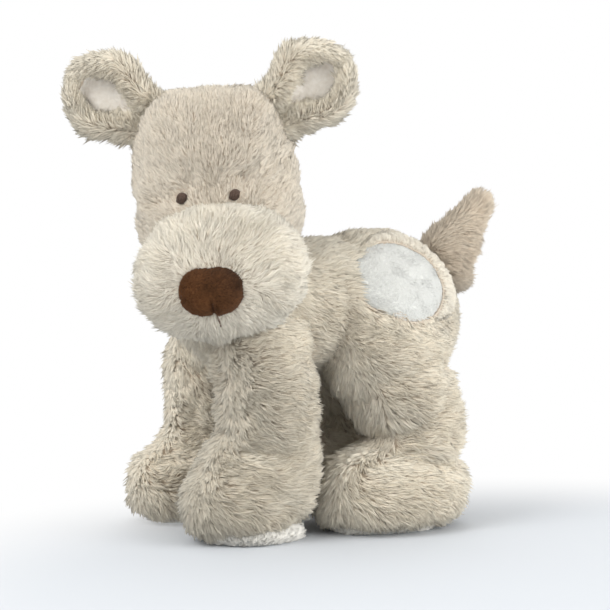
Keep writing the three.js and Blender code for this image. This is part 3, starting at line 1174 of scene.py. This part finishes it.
# ---- soles
for leg in LEGS:
    feet = body.points[body.points[:, 2] < FLOOR_GAP + 6]
    foot = feet[of_leg(leg, local(feet, BODY))]
    low, high = foot.min(0), foot.max(0)
    centre, half = (low + high) / 2, (high - low) / 2
    # One front pad shows at its side and heel, the others hardly at all.
    inset, heel = (-0.8, 4) if leg == "front_left" else (6, 0)
    pad_lumps = [((centre[0], centre[1] + heel, 3.2), (half[0] - inset, half[1] - inset - heel, 8))]
    pad = form(f"leg_{leg}_pad", Matrix(), pad_lumps, 1.8, 3, FLEECE)
    for vertex in pad.data.vertices:
        vertex.co.z = max(vertex.co.z, 0)
    keep(pad, f"leg_{leg}", replaces=(f"leg_{leg}_sole",), slot="fleece")
    under = Matrix.Translation((centre[0], centre[1], 0))
    nap = pile(f"leg_{leg}_pad_nap", surface_of(pad), PILE_SOLE, out_from(under, 14), 12000, 4.0, lean=62,
               width=0.16, weight=lambda points: step(0.3, 1.0, points[:, 2]), floor=0.3)
    keep(nap, f"leg_{leg}", slot="fleece")

# ---- riding: a piece on one body is parented to it, one on two bodies has its place baked into its mesh, and the parts each replaces are hidden
for obj, bodies, stands_for, slot in pieces:
    if len(bodies) == 1:
        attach(obj, bodies[0])
    else:
        first, second, start, end = bodies
        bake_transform(obj)
    if stands_for:
        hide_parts(*stands_for)


# ---- stage
def stage_floor():
    """A pale floor that fades to white around the dog, soonest behind it: grey-blue near the dog as painted
    shade, and glowing white beyond as painted light.
    """
    material, nodes, link, skin = shader("floor")
    place = new_node(nodes, "TexCoord")
    oval = new_node(nodes, "Mapping", {
        "Location": away(VIEW_AZIMUTH, 0) * 0.17 + away(VIEW_AZIMUTH + 90, 0) * 0.12,
        "Rotation": (0, 0, math.radians(VIEW_AZIMUTH)),
        "Scale": (0.38, 0.31, 1),
    }, vector_type="TEXTURE")
    link(place.outputs["Object"], oval.inputs["Vector"])
    distance = new_node(nodes, "VectorMath", operation="LENGTH")
    link(oval.outputs["Vector"], distance.inputs[0])
    # none inside the oval and all beyond it: the share of the floor that glows white as painted light
    far = new_node(nodes, "MapRange", {"From Min": 0.6, "From Max": 1.0}, interpolation_type="SMOOTHSTEP")
    link(distance.outputs["Value"], far.inputs["Value"])
    # grey-blue near the dog: painted shade
    set_inputs(skin, {"Base Color": (*srgb(202, 206, 211), 1), "Roughness": 0.9, "Specular IOR Level": 0.1})
    # painted light: the floor glows white far from the dog
    painted_glow = new_node(nodes, "Emission")
    mix = new_node(nodes, "MixShader")
    link(far.outputs["Result"], mix.inputs["Fac"])
    link(skin.outputs[0], mix.inputs[1])
    link(painted_glow.outputs[0], mix.inputs[2])
    link(mix.outputs[0], nodes["Material Output"].inputs["Surface"])
    bpy.ops.mesh.primitive_plane_add(size=60, location=(0, 0, 0))
    floor = bpy.context.object
    floor.name = "floor"
    floor.data.materials.append(material)


def away(azimuth, elevation):
    """The direction from the dog towards a camera or a light."""
    a, e = math.radians(azimuth), math.radians(elevation)
    return Vector((math.sin(a) * math.cos(e), -math.cos(a) * math.cos(e), math.sin(e)))


def aimed(obj, back, distance, target):
    """Puts obj back from its target, looking at it."""
    obj.location = Vector(target) + back * distance
    obj.rotation_mode = "QUATERNION"
    obj.rotation_quaternion = back.to_track_quat("Z", "Y")
    bpy.context.scene.collection.objects.link(obj)


def soft_light(name, azimuth, elevation, distance, size, power):
    """A round studio light, in metres and watts, aimed at the dog."""
    light = bpy.data.lights.new(name, "AREA")
    light.shape = "DISK"
    light.size = size
    light.energy = power
    aimed(bpy.data.objects.new(name, light), away(azimuth, elevation), distance, (0, 0, 0.13))


VIEW_AZIMUTH, VIEW_ELEVATION, VIEW_DISTANCE = 66, 7, 1.5


def stage_camera():
    data = bpy.data.cameras.new("camera")
    data.sensor_width = 36
    data.lens = 161.9
    data.shift_x = 0.0115
    data.shift_y = -0.0295
    camera = bpy.data.objects.new("camera", data)
    aimed(camera, away(VIEW_AZIMUTH, VIEW_ELEVATION), VIEW_DISTANCE, (0, 0, 0.131))
    bpy.context.scene.camera = camera


def studio():
    """White to the eye, and a soft, barely warm light to the dog."""
    world = bpy.data.worlds.new("studio")
    world.use_nodes = True
    nodes, link = world.node_tree.nodes, world.node_tree.links.new
    lit = nodes["Background"]
    set_inputs(lit, {"Color": (1.0, 0.99, 0.97, 1), "Strength": 0.85})
    seen = new_node(nodes, "Background", {"Color": (1, 1, 1, 1)})
    path = new_node(nodes, "LightPath")
    mix = new_node(nodes, "MixShader")
    link(path.outputs["Is Camera Ray"], mix.inputs["Fac"])
    link(lit.outputs[0], mix.inputs[1])
    link(seen.outputs[0], mix.inputs[2])
    link(mix.outputs[0], nodes["World Output"].inputs["Surface"])
    bpy.context.scene.world = world


stage_floor()
soft_light("key", VIEW_AZIMUTH - 50, 42, 1.6, 0.9, 12.5)
soft_light("fill", VIEW_AZIMUTH + 60, 18, 1.8, 1.4, 21)
soft_light("top", VIEW_AZIMUTH + 180, 60, 1.6, 1.2, 4)
stage_camera()
studio()
bpy.context.scene.view_settings.view_transform = "Standard"
